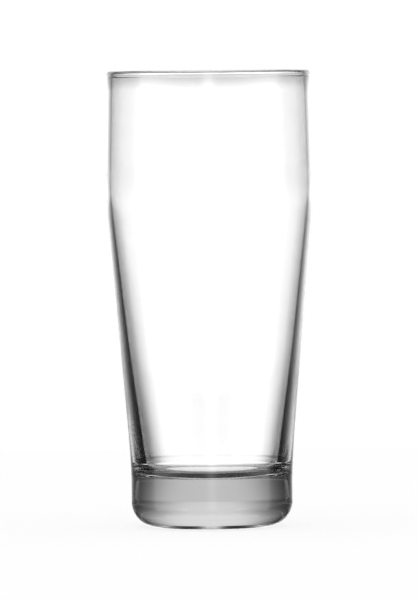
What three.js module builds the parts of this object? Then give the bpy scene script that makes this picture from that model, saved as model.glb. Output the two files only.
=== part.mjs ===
// A tall, slightly bellied beer glass, pressed and blown in one piece, with a thick solid base.
// Sizes are in millimetres. Z is up and the origin is the centre of the underside.
import * as THREE from "three";

// The whole glass
const HEIGHT = 146;
const ROUND_SEGMENTS = 80;

// The solid base, outside
const BASE_RADIUS = 25.8;
const BASE_CORNER_ROUND = 7.8;
const BASE_TOP_Z = 19.8;
const BASE_TOP_RADIUS = 25.86;
const BASE_TOP_ROUND = 190;

// The belly, outside
const BELLY_Z = 106.1;
const BELLY_RADIUS = 33.12;
const BELLY_ROUND = 200;

// The rim: a round bead, a little thicker than the wall under it
const BEAD_THICKNESS = 1.9;
const BEAD_ROUND = BEAD_THICKNESS / 2;
const BEAD_OUTER_RADIUS = 32.42;
const BEAD_INNER_RADIUS = BEAD_OUTER_RADIUS - BEAD_THICKNESS;
const BEAD_SIDE_DROP = 1.45;
const BEAD_SIDE_ROUND = 0.6;
const NECK_DROP = 1.95;
const NECK_OUTER_RADIUS = 32.27;
const NECK_WALL = 1.53;
const NECK_ROUND = 0.8;

// The inside: the wall grows from the neck to the base
const INNER_BELLY_Z = 105.5;
const INNER_BELLY_RADIUS = 31.68;
const INNER_BELLY_ROUND = 110;
const INNER_WAIST_Z = 53.1;
const INNER_WAIST_RADIUS = 25.73;
const INNER_WAIST_ROUND = 640;
const FLOOR_Z = 16.0;
const HEEL_RADIUS = 20.66;
const HEEL_ROUND = 5.8;

// The path runs from the centre of the underside, up the outside, over the rim and down inside.
// Each corner is [radius, height, rounding, steps of its arc].
const CORNERS = [
  [0, 0, 0, 0],
  [BASE_RADIUS, 0, BASE_CORNER_ROUND, 8],
  [BASE_TOP_RADIUS, BASE_TOP_Z, BASE_TOP_ROUND, 4],
  [BELLY_RADIUS, BELLY_Z, BELLY_ROUND, 12],
  [NECK_OUTER_RADIUS, HEIGHT - NECK_DROP, NECK_ROUND, 2],
  [BEAD_OUTER_RADIUS, HEIGHT - BEAD_SIDE_DROP, BEAD_SIDE_ROUND, 2],
  [BEAD_OUTER_RADIUS, HEIGHT, BEAD_ROUND, 7],
  [BEAD_INNER_RADIUS, HEIGHT, BEAD_ROUND, 7],
  [BEAD_INNER_RADIUS, HEIGHT - BEAD_SIDE_DROP, BEAD_SIDE_ROUND, 2],
  [NECK_OUTER_RADIUS - NECK_WALL, HEIGHT - NECK_DROP, NECK_ROUND, 2],
  [INNER_BELLY_RADIUS, INNER_BELLY_Z, INNER_BELLY_ROUND, 5],
  [INNER_WAIST_RADIUS, INNER_WAIST_Z, INNER_WAIST_ROUND, 3],
  [HEEL_RADIUS, FLOOR_Z, HEEL_ROUND, 7],
  [0, FLOOR_Z, 0, 0],
];

// Points of the arc that rounds the corner `here` between its neighbours `before` and `after`.
function roundedCorner(before, here, after) {
  const corner = new THREE.Vector2(here[0], here[1]);
  const back = new THREE.Vector2(before[0], before[1]).sub(corner).normalize();
  const ahead = new THREE.Vector2(after[0], after[1]).sub(corner).normalize();
  const turn = Math.PI - Math.acos(THREE.MathUtils.clamp(back.dot(ahead), -1, 1));
  const reach = here[2] * Math.tan(turn / 2);
  const start = back.clone().multiplyScalar(reach).add(corner);
  const middle = back.clone().add(ahead).normalize();
  const centre = middle.multiplyScalar(here[2] / Math.cos(turn / 2)).add(corner);
  const side = Math.sign(back.cross(ahead));
  const steps = here[3];
  const points = [];
  for (let i = 0; i <= steps; i += 1) {
    const arm = start.clone().rotateAround(centre, (-side * turn * i) / steps);
    points.push(arm);
  }
  return points;
}

function profile() {
  const points = [];
  CORNERS.forEach((corner, i) => {
    if (corner[2] === 0) {
      points.push(new THREE.Vector2(corner[0], corner[1]));
    } else {
      points.push(...roundedCorner(CORNERS[i - 1], corner, CORNERS[i + 1]));
    }
  });
  return points;
}

const clearGlass = new THREE.MeshStandardMaterial({
  name: "clear_glass",
  color: new THREE.Color(0.93, 0.94, 0.94),
  roughness: 0.03,
  metalness: 0,
  transparent: true,
  opacity: 0.35,
});

const tumblerShape = new THREE.LatheGeometry(profile(), ROUND_SEGMENTS);
tumblerShape.rotateX(Math.PI / 2);

const tumbler = new THREE.Mesh(tumblerShape, clearGlass);
tumbler.name = "tumbler";

const part = new THREE.Group();
part.name = "beer_glass";
part.add(tumbler);

export default part;
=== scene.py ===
"""A tall clear beer glass with a thick solid base, on a pale studio floor. Metres, Z up."""

import math

import bmesh
import bpy
from mathutils import Matrix, Vector


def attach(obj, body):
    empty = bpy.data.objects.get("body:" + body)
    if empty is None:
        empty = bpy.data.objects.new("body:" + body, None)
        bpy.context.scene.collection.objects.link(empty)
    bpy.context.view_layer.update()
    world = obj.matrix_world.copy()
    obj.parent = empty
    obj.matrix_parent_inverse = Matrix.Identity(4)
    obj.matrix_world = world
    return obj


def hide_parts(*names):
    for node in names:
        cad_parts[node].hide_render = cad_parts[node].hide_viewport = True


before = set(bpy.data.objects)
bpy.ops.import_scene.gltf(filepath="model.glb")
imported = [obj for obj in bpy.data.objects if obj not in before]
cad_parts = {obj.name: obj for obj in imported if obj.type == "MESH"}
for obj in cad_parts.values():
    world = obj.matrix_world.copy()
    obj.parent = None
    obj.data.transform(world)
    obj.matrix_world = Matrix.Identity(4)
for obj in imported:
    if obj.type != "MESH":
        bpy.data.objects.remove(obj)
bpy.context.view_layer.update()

MM = 0.001
# Points that are closer than this are one point, in metres.
TINY = 1e-6

# The glass, with the same values as the solid, in millimetres
HEIGHT = 146.0
BASE_RADIUS = 25.8
BASE_CORNER_ROUND = 7.8
BASE_TOP_Z = 19.8
BASE_TOP_RADIUS = 25.86
BASE_TOP_ROUND = 190.0
BELLY_Z = 106.1
BELLY_RADIUS = 33.12
BELLY_ROUND = 200.0
BEAD_THICKNESS = 1.9
BEAD_ROUND = BEAD_THICKNESS / 2
BEAD_OUTER_RADIUS = 32.42
BEAD_INNER_RADIUS = BEAD_OUTER_RADIUS - BEAD_THICKNESS
BEAD_SIDE_DROP = 1.45
BEAD_SIDE_ROUND = 0.6
NECK_DROP = 1.95
NECK_OUTER_RADIUS = 32.27
NECK_WALL = 1.53
NECK_ROUND = 0.8
INNER_BELLY_Z = 105.5
INNER_BELLY_RADIUS = 31.68
INNER_BELLY_ROUND = 110.0
INNER_WAIST_Z = 53.1
INNER_WAIST_RADIUS = 25.73
INNER_WAIST_ROUND = 640.0
FLOOR_Z = 16.0
HEEL_RADIUS = 20.66
HEEL_ROUND = 5.8

# Corners of the glass's section: radius, height, rounding, arc steps
SECTION = [
    (0, 0, 0, 0),
    (BASE_RADIUS, 0, BASE_CORNER_ROUND, 32),
    (BASE_TOP_RADIUS, BASE_TOP_Z, BASE_TOP_ROUND, 12),
    (BELLY_RADIUS, BELLY_Z, BELLY_ROUND, 12),
    (NECK_OUTER_RADIUS, HEIGHT - NECK_DROP, NECK_ROUND, 8),
    (BEAD_OUTER_RADIUS, HEIGHT - BEAD_SIDE_DROP, BEAD_SIDE_ROUND, 8),
    (BEAD_OUTER_RADIUS, HEIGHT, BEAD_ROUND, 14),
    (BEAD_INNER_RADIUS, HEIGHT, BEAD_ROUND, 14),
    (BEAD_INNER_RADIUS, HEIGHT - BEAD_SIDE_DROP, BEAD_SIDE_ROUND, 8),
    (NECK_OUTER_RADIUS - NECK_WALL, HEIGHT - NECK_DROP, NECK_ROUND, 8),
    (INNER_BELLY_RADIUS, INNER_BELLY_Z, INNER_BELLY_ROUND, 24),
    (INNER_WAIST_RADIUS, INNER_WAIST_Z, INNER_WAIST_ROUND, 16),
    (HEEL_RADIUS, FLOOR_Z, HEEL_ROUND, 32),
    (0, FLOOR_Z, 0, 0),
]
ROUND_STEPS = 192
LONGEST_STEP = 4.0
# Rings stand this close to both ends of a straight run, so that the rounding's shade stops there.
RING_GAP = 0.2

# In what follows, a pair says where something begins and where it is complete.

# The glass as a material. Light loses a little on its way through it, all colours alike.
GLASS_IOR = 1.52
GLASS_GREY = 0.5
GLASS_DENSITY = 25.0
# Waves and patches of haze are noises, so many to a metre. The waves lie flat round the wall,
# closer together upwards, and their depth is in metres.
WAVES = 70.0
WAVE_SQUEEZE = (0.6, 0.6, 1.5)
WAVE_DETAIL = 1.0
WAVE_DEPTH = 0.00002
PATCHES = 45.0
PATCH_DETAIL = 3.0
PATCH_EDGE = (0.55, 0.75)
HAZE = 0.012

# The studio. Bearings are degrees to the left or right of straight behind the glass, heights
# are degrees above the horizon, and widths are half widths in degrees.

# White sheets stand round the glass, with dark gaps between them. Their edges fade softly, and
# their strength makes up for the light that the glass turns away.
SHEET_FADE = 3.5
SHEET_STRENGTH = 1.3
DARK_GAP = 0.005
# The backdrop: height, width to the left and to the right, and level. It widens upwards. Below
# the horizon it is a painted mirror image of the backdrop in the polished floor, which narrows in
# steps.
BACKDROP = [
    (-30.0, 5.0, 6.0, 1.0),
    (-20.0, 10.0, 13.0, 1.0),
    (-14.0, 9.0, 11.0, 1.0),
    (-11.0, 13.5, 17.5, 1.0),
    (-5.0, 13.5, 17.5, 1.05),
    (-3.0, 22.5, 25.5, 1.05),
    (0.0, 22.5, 25.5, 0.95),
    (20.0, 33.0, 40.0, 1.1),
]
# A ramp of colours holds these rows, as shares of this width and this level.
WIDEST = 50.0
TOP_LEVEL = 1.25
# A narrow sheet hangs behind the camera. The side sheets are wide towards the camera only,
# which leaves the glass its dark outlines, and they end a little above the horizon.
CAMERA_BEARING = 180.0
CAMERA_SHEET = 6.0
SIDE_BEARING = 95.0
SIDE_SHEET = 6.5
SIDE_SHEET_NEAR = 32.0
SIDE_TOP = (13.0, 9.0)
# The corners have sheets only below the horizon, as painted reflections in the floor with no sheet
# above them: bearing, width, heights.
CORNER_SHEETS = [(135.0, 11.0, (-9.0, -12.0)), (45.0, 12.0, (-20.0, -24.0))]
# A plain dim ceiling
CEILING = (34.0, 55.0)
CEILING_LEVEL = 0.55
# What the camera sees past the glass, and what lights the matt floor
CAMERA_WHITE = 1.0
ROOM_WHITE = 0.7

# The floor. Reaches are in metres from the glass's axis. With this blend, facing is 0 straight
# down on the floor and 1 along it.
FACING_BLEND = 0.5
FLOOR_RADIUS = 0.43
FLOOR_STEPS = 96
FLOOR_DROP = 0.0002
# To the camera it is white: this share of it is its own light, the rest is matt.
FLOOR_GLOW = 0.85
# Through the glass and looked down on, it glows its own white, with marks of painted shade.
FLOOR_STRENGTH = 1.05
FLOOR_WHITE = 0.95
FLOOR_PAINTED_DARK = 0.04
STEEP_FACING = (0.31, 0.25)
# The painted shade under the foot fades along the floor; only the glass shows it.
FOOT_REACH = (0.0275, 0.0255)
FOOT_FACING = (0.83, 0.46)
# Painted shade: a dark patch in the floor behind the glass, which only the glass shows. It shows
# neither along the floor nor from high above.
BACK_SHADE_BEARING = (24.0, 10.0)
BACK_SHADE_REACH = (0.09, 0.115)
BACK_SHADE_FACING = ((0.82, 0.57), (0.28, 0.38))
# Painted shade: a dark ring in the floor round the foot, open behind the glass. It too shows at
# middling angles only.
RING_SHADE_BEARING = (32.0, 38.0)
RING_SHADE_REACH = (0.058, 0.054)
RING_SHADE_FACING = ((0.64, 0.6), (0.33, 0.4))
# Along the floor, a painted reflection of the backdrop, a white strip, hides the mirrored backdrop
# and is a little wider than that.
# Its two widths are to the left and to the right.
STRIP_BEARING = (62.0, 50.0)
STRIP_FACING = (0.89, 0.925)
STRIP_WIDTHS = (24.0, 27.0)
# The painted mirror image is a little weaker along the floor.
MIRROR_FACING = (0.86, 0.95)
MIRROR_WEAKEST = 0.82
# Both end before the floor's edge.
EDGE_REACH = (0.425, 0.395)

# The gauze is a grey curtain round the rim that only the glass shows, painted shade on the rim and
# upper wall, clear at its lower edge, in metres.
GAUZE_RADIUS = 0.15
GAUZE_STEPS = 128
GAUZE_LOW = 0.139
GAUZE_FULL = 0.1445
GAUZE_TOP = 0.3
GAUZE_SHADE = 0.4

# The lamp over the glass: metres and watts
LAMP_PLACE = (0.0, -0.2, 1.5)
LAMP_SIZE = 1.6
LAMP_POWER = 8.0

# The camera stands nearly level with the rim and looks slightly down. Metres, and degrees of
# roll. Lens and sensor are in millimetres.
CAMERA_FAR = 2.253
CAMERA_HEIGHT = 0.1545
CAMERA_CLIP = 100.0
AIM_HEIGHT = 0.0725
AIM_SIDE = -0.00055
CAMERA_ROLL = -0.55
LENS_MM = 422.0
SENSOR_MM = 36.0

BOUNCES = 24
GLOSSY_BOUNCES = 12


def section_wire(bm):
    """The section as a wire: straight runs, and a spin about its own centre at each rounding."""
    places = [Vector((r, 0, z)) * MM for r, z, _, _ in SECTION]
    pen = bm.verts.new(places[0])
    reach = 0.0
    for i in range(1, len(SECTION)):
        corner, rounding, steps = places[i], SECTION[i][2] * MM, SECTION[i][3]
        ahead = (corner - places[i - 1]).normalized()
        next_reach = 0.0
        if steps:
            after = (places[i + 1] - corner).normalized()
            turn = ahead.angle(after)
            next_reach = rounding * math.tan(turn / 2)
        start = places[i - 1] + ahead * reach
        end = corner - ahead * next_reach
        room = (end - start).length
        gap = min(RING_GAP * MM, room / 4)
        marks = []
        if room > RING_GAP * MM:
            runs = math.ceil((room - 2 * gap) / (LONGEST_STEP * MM))
            marks = [gap + (room - 2 * gap) * k / runs for k in range(runs + 1)]
        if room > TINY:
            marks.append(room)
        for mark in marks:
            ring = bm.verts.new(start + ahead * mark)
            bm.edges.new((pen, ring))
            pen = ring
        if steps:
            inwards = (after - ahead).normalized()
            made = bmesh.ops.spin(
                bm,
                geom=[pen],
                cent=corner + inwards * rounding / math.cos(turn / 2),
                axis=ahead.cross(after).normalized(),
                dvec=(0, 0, 0),
                angle=turn,
                steps=steps,
                use_merge=False,
                use_duplicate=False,
            )
            pen = made["geom_last"][0]
        reach = next_reach


def turned_glass():
    """The section, turned once round the upright axis."""
    bm = bmesh.new()
    section_wire(bm)
    bmesh.ops.spin(
        bm,
        geom=list(bm.verts) + list(bm.edges),
        cent=(0, 0, 0),
        axis=(0, 0, 1),
        dvec=(0, 0, 0),
        angle=2 * math.pi,
        steps=ROUND_STEPS,
        use_merge=True,
        use_duplicate=False,
    )
    bmesh.ops.remove_doubles(bm, verts=bm.verts, dist=TINY)
    bmesh.ops.recalc_face_normals(bm, faces=bm.faces)
    for face in bm.faces:
        face.smooth = True
    mesh = bpy.data.meshes.new("glass_body")
    bm.to_mesh(mesh)
    bm.free()
    obj = bpy.data.objects.new("glass_body", mesh)
    bpy.context.scene.collection.objects.link(obj)
    return obj


def node_tree(owner):
    owner.use_nodes = True
    owner.node_tree.nodes.clear()
    return owner.node_tree


def add(tree, kind, **values):
    """A node of that kind; each value sets a property, or a socket where the name is one."""
    node = tree.nodes.new(kind)
    for name, value in values.items():
        if hasattr(node, name):
            setattr(node, name, value)
        else:
            node.inputs[name].default_value = value
    return node


def put(tree, socket, value):
    """Set a socket to a number, or link it to another socket."""
    if isinstance(value, bpy.types.NodeSocket):
        tree.links.new(value, socket)
    else:
        socket.default_value = value


def maths(tree, operation, first, *others):
    """An operation on one value, or from left to right on several."""
    for other in others or (0.0,):
        node = add(tree, "ShaderNodeMath", operation=operation)
        put(tree, node.inputs[0], first)
        put(tree, node.inputs[1], other)
        first = node.outputs[0]
    return first


def rise(tree, value, pair, turn="SMOOTHSTEP"):
    """0 at the first of the pair and 1 at the second, with a soft turn at both by default."""
    node = add(tree, "ShaderNodeMapRange", interpolation_type=turn)
    put(tree, node.inputs["Value"], value)
    node.inputs["From Min"].default_value = pair[0]
    node.inputs["From Max"].default_value = pair[1]
    return node.outputs[0]


def blend(tree, share, first, second):
    node = add(tree, "ShaderNodeMix", data_type="FLOAT")
    put(tree, node.inputs[0], share)
    put(tree, node.inputs[2], first)
    put(tree, node.inputs[3], second)
    return node.outputs[0]


def place_in(tree, kind):
    """Object or Generated coordinates, whole and as their three parts."""
    place = add(tree, "ShaderNodeTexCoord").outputs[kind]
    split = add(tree, "ShaderNodeSeparateXYZ")
    tree.links.new(place, split.inputs[0])
    return place, split.outputs


def bearing_of(tree, across, along):
    """Degrees away from straight behind the glass, and a mask of the right-hand side."""
    bearing = maths(tree, "DEGREES", maths(tree, "ARCTAN2", across, along))
    return maths(tree, "ABSOLUTE", bearing), maths(tree, "GREATER_THAN", bearing, 0.0)


def new_group(name, takes, gives):
    """A node group for plain numbers: the group, what it is given and what it has to give."""
    group = bpy.data.node_groups.new(name, "ShaderNodeTree")
    for label, start in takes:
        socket = group.interface.new_socket(label, in_out="INPUT", socket_type="NodeSocketFloat")
        socket.default_value = start
    for label in gives:
        group.interface.new_socket(label, in_out="OUTPUT", socket_type="NodeSocketFloat")
    given = group.nodes.new("NodeGroupInput").outputs
    return group, given, group.nodes.new("NodeGroupOutput").inputs


def new_material(name):
    material = bpy.data.materials.new(name)
    tree = node_tree(material)
    return material, tree, add(tree, "ShaderNodeOutputMaterial")


def melt_marks():
    """Node group: the faint waves that the mould leaves in the glass, and thin patches of haze."""
    takes = (("Waves", WAVES), ("Patches", PATCHES), ("Haze", HAZE))
    group, given, result = new_group("melt_marks", takes, ("Height", "Roughness"))
    link = group.links.new
    place = add(group, "ShaderNodeTexCoord").outputs["Object"]
    squeeze = add(group, "ShaderNodeMapping", Scale=WAVE_SQUEEZE)
    link(place, squeeze.inputs["Vector"])
    waves = add(group, "ShaderNodeTexNoise", Detail=WAVE_DETAIL)
    link(squeeze.outputs[0], waves.inputs["Vector"])
    link(given["Waves"], waves.inputs["Scale"])
    link(waves.outputs[0], result["Height"])
    patches = add(group, "ShaderNodeTexNoise", Detail=PATCH_DETAIL)
    link(place, patches.inputs["Vector"])
    link(given["Patches"], patches.inputs["Scale"])
    cover = rise(group, patches.outputs[0], PATCH_EDGE)
    link(maths(group, "MULTIPLY", cover, given["Haze"]), result["Roughness"])
    return group


def clear_glass():
    material, tree, out = new_material("clear_glass")
    link = tree.links.new
    glass = add(tree, "ShaderNodeBsdfPrincipled")
    glass.inputs["Base Color"].default_value = (1, 1, 1, 1)
    glass.inputs["IOR"].default_value = GLASS_IOR
    glass.inputs["Transmission Weight"].default_value = 1.0
    marks = add(tree, "ShaderNodeGroup", node_tree=melt_marks())
    bump = add(tree, "ShaderNodeBump", Distance=WAVE_DEPTH)
    link(marks.outputs["Height"], bump.inputs["Height"])
    link(bump.outputs[0], glass.inputs["Normal"])
    link(marks.outputs["Roughness"], glass.inputs["Roughness"])
    depth = add(tree, "ShaderNodeVolumeAbsorption")
    depth.inputs["Color"].default_value = (GLASS_GREY, GLASS_GREY, GLASS_GREY, 1)
    depth.inputs["Density"].default_value = GLASS_DENSITY
    link(glass.outputs[0], out.inputs["Surface"])
    link(depth.outputs[0], out.inputs["Volume"])
    return material


def lit_sheet():
    """Node group: how bright a white sheet is, at a bearing away from its middle."""
    takes = (("Bearing", 0.0), ("Middle", 0.0), ("Half Width", SIDE_SHEET))
    group, given, result = new_group("lit_sheet", takes, ("Light",))
    away = maths(group, "ABSOLUTE", maths(group, "SUBTRACT", given["Bearing"], given["Middle"]))
    share = maths(group, "DIVIDE", away, given["Half Width"])
    fade = maths(group, "ADD", maths(group, "POWER", share, SHEET_FADE), 1.0)
    group.links.new(maths(group, "DIVIDE", 1.0, fade), result["Light"])
    return group


def sheet(tree, group, bearing, middle, half_width):
    node = add(tree, "ShaderNodeGroup", node_tree=group)
    put(tree, node.inputs["Bearing"], bearing)
    put(tree, node.inputs["Middle"], middle)
    put(tree, node.inputs["Half Width"], half_width)
    return node.outputs["Light"]


def kind_of_ray(tree):
    """Masks of the camera's rays, and of the rays that the glass bends or mirrors."""
    path = add(tree, "ShaderNodeLightPath").outputs
    bent = maths(tree, "MAXIMUM", path["Is Glossy Ray"], path["Is Transmission Ray"])
    return path["Is Camera Ray"], bent


def either(tree, share, first, second):
    """One shader where share is 0, another where it is 1."""
    node = add(tree, "ShaderNodeMixShader")
    put(tree, node.inputs[0], share)
    tree.links.new(first.outputs[0], node.inputs[1])
    tree.links.new(second.outputs[0], node.inputs[2])
    return node


def own_light(tree, kind, strength):
    """An emission or a background in plain white."""
    node = add(tree, kind)
    node.inputs["Color"].default_value = (1, 1, 1, 1)
    node.inputs["Strength"].default_value = strength
    return node


def backdrop(tree, height, right):
    """Half width and level of the backdrop at this height, on the side that the mask tells."""
    low, high = BACKDROP[0][0], BACKDROP[-1][0]
    ramp = add(tree, "ShaderNodeValToRGB")
    stops = ramp.color_ramp.elements
    while len(stops) < len(BACKDROP):
        stops.new(0.5)
    for stop, (at, to_left, to_right, level) in zip(stops, BACKDROP):
        stop.position = (at - low) / (high - low)
        stop.color = (to_left / WIDEST, to_right / WIDEST, level / TOP_LEVEL, 1)
    tree.links.new(rise(tree, height, (low, high), "LINEAR"), ramp.inputs[0])
    split = add(tree, "ShaderNodeSeparateColor")
    tree.links.new(ramp.outputs["Color"], split.inputs[0])
    width = maths(tree, "MULTIPLY", blend(tree, right, *split.outputs[:2]), WIDEST)
    return width, maths(tree, "MULTIPLY", split.outputs[2], TOP_LEVEL)


def studio_world(group):
    """Plain white to the camera. The glass bends and mirrors the sheets; below the horizon they
    are a painted mirror image in the floor.
    """
    world = bpy.data.worlds.new("studio")
    bpy.context.scene.world = world
    tree = node_tree(world)
    out = add(tree, "ShaderNodeOutputWorld")
    _, (across, along, up) = place_in(tree, "Generated")
    aside, right = bearing_of(tree, across, along)
    height = maths(tree, "DEGREES", maths(tree, "ARCSINE", up))
    half_width, level = backdrop(tree, height, right)
    lights = [
        maths(tree, "MULTIPLY", sheet(tree, group, aside, 0.0, half_width), level),
        sheet(tree, group, aside, CAMERA_BEARING, CAMERA_SHEET),
    ]
    nearer = maths(tree, "GREATER_THAN", aside, SIDE_BEARING)
    side_width = blend(tree, nearer, SIDE_SHEET, SIDE_SHEET_NEAR)
    # the corner sheets are only painted reflections in the floor, below the horizon
    for middle, width, heights in [(SIDE_BEARING, side_width, SIDE_TOP), *CORNER_SHEETS]:
        light = sheet(tree, group, aside, middle, width)
        lights.append(maths(tree, "MULTIPLY", light, rise(tree, height, heights)))
    light = blend(tree, DARK_GAP, maths(tree, "MAXIMUM", *lights), 1.0)
    light = blend(tree, rise(tree, height, CEILING), light, CEILING_LEVEL)
    sheets = own_light(tree, "ShaderNodeBackground", SHEET_STRENGTH)
    tree.links.new(light, sheets.inputs["Color"])
    room = own_light(tree, "ShaderNodeBackground", ROOM_WHITE)
    ground = own_light(tree, "ShaderNodeBackground", CAMERA_WHITE)
    camera_ray, bent = kind_of_ray(tree)
    last = either(tree, camera_ray, either(tree, bent, room, sheets), ground)
    tree.links.new(last.outputs[0], out.inputs["Surface"])


def stage_object(name, bm, material):
    """A piece of the studio, from a finished bmesh."""
    mesh = bpy.data.meshes.new(name)
    bm.to_mesh(mesh)
    bm.free()
    obj = bpy.data.objects.new(name, mesh)
    bpy.context.scene.collection.objects.link(obj)
    mesh.materials.append(material)


def pale_floor(group):
    """White to the camera. Through the glass it glows white with painted shade marks; at a low
    angle it is clear to the world's painted mirror image of the sheets, under a painted reflection
    strip.
    """
    material, tree, out = new_material("pale_floor")
    place, (across, along, _) = place_in(tree, "Object")
    aside, right = bearing_of(tree, across, along)
    length = add(tree, "ShaderNodeVectorMath", operation="LENGTH")
    tree.links.new(place, length.inputs[0])
    reach = length.outputs["Value"]
    facing = add(tree, "ShaderNodeLayerWeight", Blend=FACING_BLEND).outputs["Facing"]

    # painted shade under the foot: a dark patch in the floor's glow, for the glass's rays only
    foot_shade = maths(tree, "MULTIPLY", rise(tree, reach, FOOT_REACH), rise(tree, facing, FOOT_FACING))
    marks = [foot_shade]
    # painted shade: the dark patch behind the glass and the dark ring round the foot, seen only
    # through the glass
    for bearings, reaches, facings in (
        (BACK_SHADE_BEARING, BACK_SHADE_REACH, BACK_SHADE_FACING),
        (RING_SHADE_BEARING, RING_SHADE_REACH, RING_SHADE_FACING),
    ):
        shape = maths(tree, "MULTIPLY", rise(tree, aside, bearings), rise(tree, reach, reaches))
        seen = [rise(tree, facing, pair) for pair in facings]
        marks.append(maths(tree, "MULTIPLY", shape, *seen))
    # all the painted shade in the floor's glow
    painted_shade = maths(tree, "MAXIMUM", *marks)
    inside = rise(tree, reach, EDGE_REACH)
    # painted reflection: a white strip shaped like the backdrop's sheet, seen along the floor
    # through the glass
    reflection_strip = maths(
        tree,
        "MULTIPLY",
        rise(tree, facing, STRIP_FACING),
        rise(tree, aside, STRIP_BEARING),
        inside,
    )
    painted_reflection = sheet(tree, group, aside, 0.0, blend(tree, right, *STRIP_WIDTHS))
    # the glow: white, with painted shade and the painted reflection strip
    white_and_painted_marks = blend(tree, reflection_strip, blend(tree, painted_shade, FLOOR_WHITE, FLOOR_PAINTED_DARK), painted_reflection)
    own = own_light(tree, "ShaderNodeEmission", FLOOR_STRENGTH)
    tree.links.new(white_and_painted_marks, own.inputs["Color"])

    weak = maths(tree, "MULTIPLY", rise(tree, facing, MIRROR_FACING, "LINEAR"), inside)
    # the sheets below the horizon are a painted mirror image, so the floor is clear and lets it
    # through
    clear_to_painted_mirror = add(tree, "ShaderNodeBsdfTransparent")
    tree.links.new(blend(tree, weak, 1.0, MIRROR_WEAKEST), clear_to_painted_mirror.inputs["Color"])
    solid = maths(tree, "MAXIMUM", rise(tree, facing, STEEP_FACING), painted_shade, reflection_strip)
    # the floor as the glass sees it: painted shade, painted reflection, and clear where the
    # painted mirror image shows
    painted_floor_look = either(tree, solid, clear_to_painted_mirror, own)

    matt = add(tree, "ShaderNodeBsdfDiffuse")
    matt.inputs["Color"].default_value = (1, 1, 1, 1)
    white = own_light(tree, "ShaderNodeEmission", CAMERA_WHITE)
    camera_ray, bent = kind_of_ray(tree)
    to_camera = either(tree, FLOOR_GLOW, matt, white)
    last = either(tree, camera_ray, either(tree, bent, matt, painted_floor_look), to_camera)
    tree.links.new(last.outputs[0], out.inputs["Surface"])
    return material


def studio_floor(group):
    bm = bmesh.new()
    bmesh.ops.create_circle(bm, cap_ends=True, segments=FLOOR_STEPS, radius=FLOOR_RADIUS)
    bmesh.ops.translate(bm, verts=bm.verts, vec=(0, 0, -FLOOR_DROP))
    stage_object("studio_floor", bm, pale_floor(group))


def gauze_painted_shade():
    """Grey gauze, painted shade in the glass. Only the glass shows it."""
    material, tree, out = new_material("gauze_painted_shade")
    _, (_, _, height) = place_in(tree, "Object")
    _, bent = kind_of_ray(tree)
    cover = rise(tree, height, (GAUZE_LOW, GAUZE_FULL))
    # painted shade: only rays that the glass bends or mirrors are darkened
    shade = maths(tree, "MULTIPLY", cover, GAUZE_SHADE, bent)
    clear = add(tree, "ShaderNodeBsdfTransparent")
    tree.links.new(maths(tree, "SUBTRACT", 1.0, shade), clear.inputs["Color"])
    tree.links.new(clear.outputs[0], out.inputs["Surface"])
    return material


def studio_shade_gauze():
    bm = bmesh.new()
    bmesh.ops.create_circle(bm, segments=GAUZE_STEPS, radius=GAUZE_RADIUS)
    bmesh.ops.translate(bm, verts=bm.verts, vec=(0, 0, GAUZE_LOW))
    made = bmesh.ops.extrude_edge_only(bm, edges=bm.edges)
    top = [v for v in made["geom"] if isinstance(v, bmesh.types.BMVert)]
    bmesh.ops.translate(bm, verts=top, vec=(0, 0, GAUZE_TOP - GAUZE_LOW))
    stage_object("studio_shade_gauze", bm, gauze_painted_shade())


def soft_light():
    light = bpy.data.lights.new("overhead_softbox", "AREA")
    light.shape = "SQUARE"
    light.size = LAMP_SIZE
    light.energy = LAMP_POWER
    obj = bpy.data.objects.new("overhead_softbox", light)
    obj.location = LAMP_PLACE
    bpy.context.scene.collection.objects.link(obj)


def photo_camera():
    data = bpy.data.cameras.new("camera")
    data.sensor_width = SENSOR_MM
    data.lens = LENS_MM
    data.clip_end = CAMERA_CLIP
    cam = bpy.data.objects.new("camera", data)
    bpy.context.scene.collection.objects.link(cam)
    place = Vector((AIM_SIDE, -CAMERA_FAR, CAMERA_HEIGHT))
    aim = Vector((AIM_SIDE, 0, AIM_HEIGHT))
    level = (aim - place).to_track_quat("-Z", "Y").to_matrix().to_4x4()
    roll = Matrix.Rotation(math.radians(CAMERA_ROLL), 4, "Z")
    cam.matrix_world = Matrix.Translation(place) @ level @ roll
    bpy.context.scene.camera = cam


glass = turned_glass()
glass.data.materials.append(clear_glass())
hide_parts("tumbler")
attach(glass, "root")

sheet_group = lit_sheet()
studio_world(sheet_group)
studio_floor(sheet_group)
studio_shade_gauze()
soft_light()
photo_camera()

scene = bpy.context.scene
scene.view_settings.view_transform = "Standard"
scene.cycles.max_bounces = BOUNCES
scene.cycles.transmission_bounces = BOUNCES
scene.cycles.glossy_bounces = GLOSSY_BOUNCES
